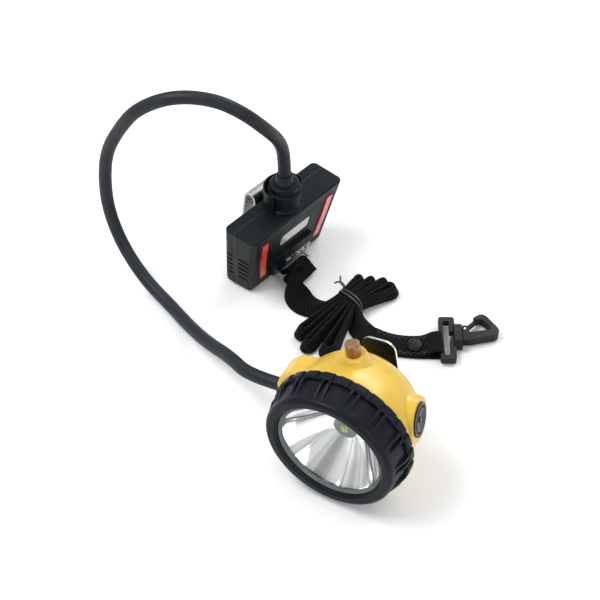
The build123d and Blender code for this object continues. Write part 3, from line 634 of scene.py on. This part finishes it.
def make_stitching():
    """Two seams along the sewn end."""
    places = band_surface()
    rows = [zigzag_row(places, offset) for offset in (-SEAM_OFFSET, SEAM_OFFSET)]
    seam = round_wire("band_stitching", rows, THREAD_R * MM, "tie_plastic", kind="POLY")
    seam.data.bevel_resolution = 2
    seam.data.use_fill_caps = True
    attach(seam, "root")


# ---------------------------------------------------------------- twist tie
TIE_WIRE_R = 0.55
# the loop: half width and half height, middle, how square it is, where it starts and how far it goes
TIE_HALF = (9.0, 5.6)
TIE_MIDDLE_Z = 7.0
TIE_SQUARENESS = 0.8
TIE_START = math.radians(150)
TIE_ROUND = math.radians(345)
TIE_LOOP_STEPS = 27
# how far each wire's loop stands from the waist, evenly and more so at its top
TIE_APART = 0.4
TIE_LEAN = 0.9
# the twist: first place, turns, and the way it goes along and up at each step
TIE_KNOT = Vector((-13.4, 41.6, 13.2))
TIE_TURNS = 2.5
TIE_TWIST_STEPS = 9
TIE_ADVANCE = 0.42
TIE_CLIMB = 0.12
# the free end's two places beyond the twist; y changes sign from one wire to the other
TIE_END = [(-0.9, 1.2, 0.7), (-1.6, 2.8, 0.6)]


def rounder(value):
    """A sine or cosine pushed outwards, so that an ellipse fills its corners."""
    return math.copysign(abs(value) ** TIE_SQUARENESS, value)


def make_tie_strand(name, lean, start_angle):
    """One coated wire: once round the hank, then twisted with the other strand and bent away."""
    middle = Vector((WAIST.x, WAIST.y, TIE_MIDDLE_Z))
    along = Vector((-WAIST_ACROSS.y, WAIST_ACROSS.x, 0))
    up = Vector((0, 0, 1))
    places = []
    for k in range(TIE_LOOP_STEPS + 1):
        a = TIE_START + TIE_ROUND * k / TIE_LOOP_STEPS
        places.append(middle + WAIST_ACROSS * rounder(math.cos(a)) * TIE_HALF[0]
                      + up * rounder(math.sin(a)) * TIE_HALF[1]
                      + along * lean * (TIE_APART + TIE_LEAN * math.sin(a)))
    for k in range(TIE_TWIST_STEPS + 1):
        a = math.radians(start_angle) + 2 * math.pi * TIE_TURNS * k / TIE_TWIST_STEPS
        shift = along * math.cos(a) * TIE_WIRE_R + up * math.sin(a) * TIE_WIRE_R
        places.append(TIE_KNOT + WAIST_ACROSS * (-TIE_ADVANCE * k) + up * TIE_CLIMB * k + shift)
    end = places[-1]
    places += [end + Vector((x, y * lean, z)) for x, y, z in TIE_END]
    strand = round_wire(name, [[place * MM for place in places]], TIE_WIRE_R * MM, "tie_plastic")
    strand.data.use_fill_caps = True
    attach(strand, "root")
    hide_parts("twist_tie")


# ---------------------------------------------------------------- cord
def make_cord():
    """The rubber cord from the pack's gland to the headpiece's lug."""
    lead = round_wire("power_lead", [CORD_ROUTE], CORD_D / 2, "cord_rubber")
    lead.data.resolution_u = 12
    lead.data.bevel_resolution = 8
    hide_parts("power_cord")
    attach(lead, "root")


# ---------------------------------------------------------------- switch spring
SPRING_R = 0.0034
SPRING_WIRE_R = 0.0003
SPRING_TURNS = 3
SPRING_PITCH = 0.001
SPRING_START = -0.0069
# places for each turn, and corners of the wire's section
SPRING_STEPS = 24
SPRING_SIDES = 8


def make_switch_spring():
    """The coil behind the push button."""
    axis = Vector((0, 0, 1))
    steps = SPRING_TURNS * SPRING_STEPS
    points = []
    for k in range(steps + 1):
        turn = 2 * math.pi * k / SPRING_STEPS
        out = Vector((math.cos(turn), math.sin(turn), 0))
        middle = out * SPRING_R + axis * (SPRING_START + SPRING_PITCH * k / SPRING_STEPS)
        for j in range(SPRING_SIDES):
            around = 2 * math.pi * j / SPRING_SIDES
            place = middle + (out * math.cos(around) + axis * math.sin(around)) * SPRING_WIRE_R
            points.append(SWITCH_FACE @ place)
    spring = add_piece("coil_spring", points, ring_faces(steps + 1, SPRING_SIDES), "steel")
    face_outwards(spring)
    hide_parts("switch_spring")
    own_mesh(spring)


# ---------------------------------------------------------------- stage
CAMERA_AT = (0.2664, -0.5102, 0.6415)
# degrees
CAMERA_DOWN = 46.0
CAMERA_YAW = 29.3
LENS_MM = 90.0
SENSOR_MM = 36.0
FLOOR_HALF = 12.0
FLOOR_GREY = 0.86
FLOOR_ROUGHNESS = 0.9
SKY_COLOUR = (0.95, 0.97, 1.0)
SKY_STRENGTH = 0.66
LIGHT_TARGET = (-0.02, -0.01, 0.03)
# name, place, width and height, power in watts
LIGHTS = [
    ("key", (-0.5, -0.3, 1.0), (0.7, 0.5), 9),
    ("fill", (0.9, -0.5, 0.6), (0.6, 0.6), 4),
    ("back", (0.1, 0.9, 0.8), (0.9, 0.3), 6),
]


def make_camera():
    data = bpy.data.cameras.new("camera")
    data.lens = LENS_MM
    data.sensor_width = SENSOR_MM
    camera = bpy.data.objects.new("camera", data)
    bpy.context.scene.collection.objects.link(camera)
    camera.location = CAMERA_AT
    camera.rotation_euler = (math.radians(90 - CAMERA_DOWN), 0, math.radians(CAMERA_YAW))
    bpy.context.scene.camera = camera


def make_floor():
    mesh = bpy.data.meshes.new("floor")
    half = FLOOR_HALF
    corners = [(-half, -half, 0), (half, -half, 0), (half, half, 0), (-half, half, 0)]
    mesh.from_pydata(corners, [], [(0, 1, 2, 3)])
    floor = bpy.data.objects.new("floor", mesh)
    bpy.context.scene.collection.objects.link(floor)
    mesh.materials.append(Surface("floor", (FLOOR_GREY,) * 3, FLOOR_ROUGHNESS).material)


def area_light(name, place, size, power):
    """A rectangular light that looks at the middle of the part."""
    data = bpy.data.lights.new(name, "AREA")
    data.shape = "RECTANGLE"
    data.size, data.size_y = size
    data.energy = power
    light = bpy.data.objects.new(name, data)
    bpy.context.scene.collection.objects.link(light)
    light.location = place
    light.rotation_euler = (Vector(LIGHT_TARGET) - Vector(place)).to_track_quat("-Z", "Y").to_euler()


def make_lights():
    world = bpy.data.worlds.new("studio")
    world.use_nodes = True
    background = world.node_tree.nodes["Background"]
    background.inputs["Color"].default_value = (*SKY_COLOUR, 1.0)
    background.inputs["Strength"].default_value = SKY_STRENGTH
    bpy.context.scene.world = world
    bpy.context.scene.view_settings.view_transform = "Standard"
    for name, place, size, power in LIGHTS:
        area_light(name, place, size, power)


paint_nodes()
make_cord()
make_webbing()
make_stitching()
make_tie_strand("tie_wire_left", -1, 0)
make_tie_strand("tie_wire_right", 1, 180)
make_switch_spring()
make_camera()
make_floor()
make_lights()
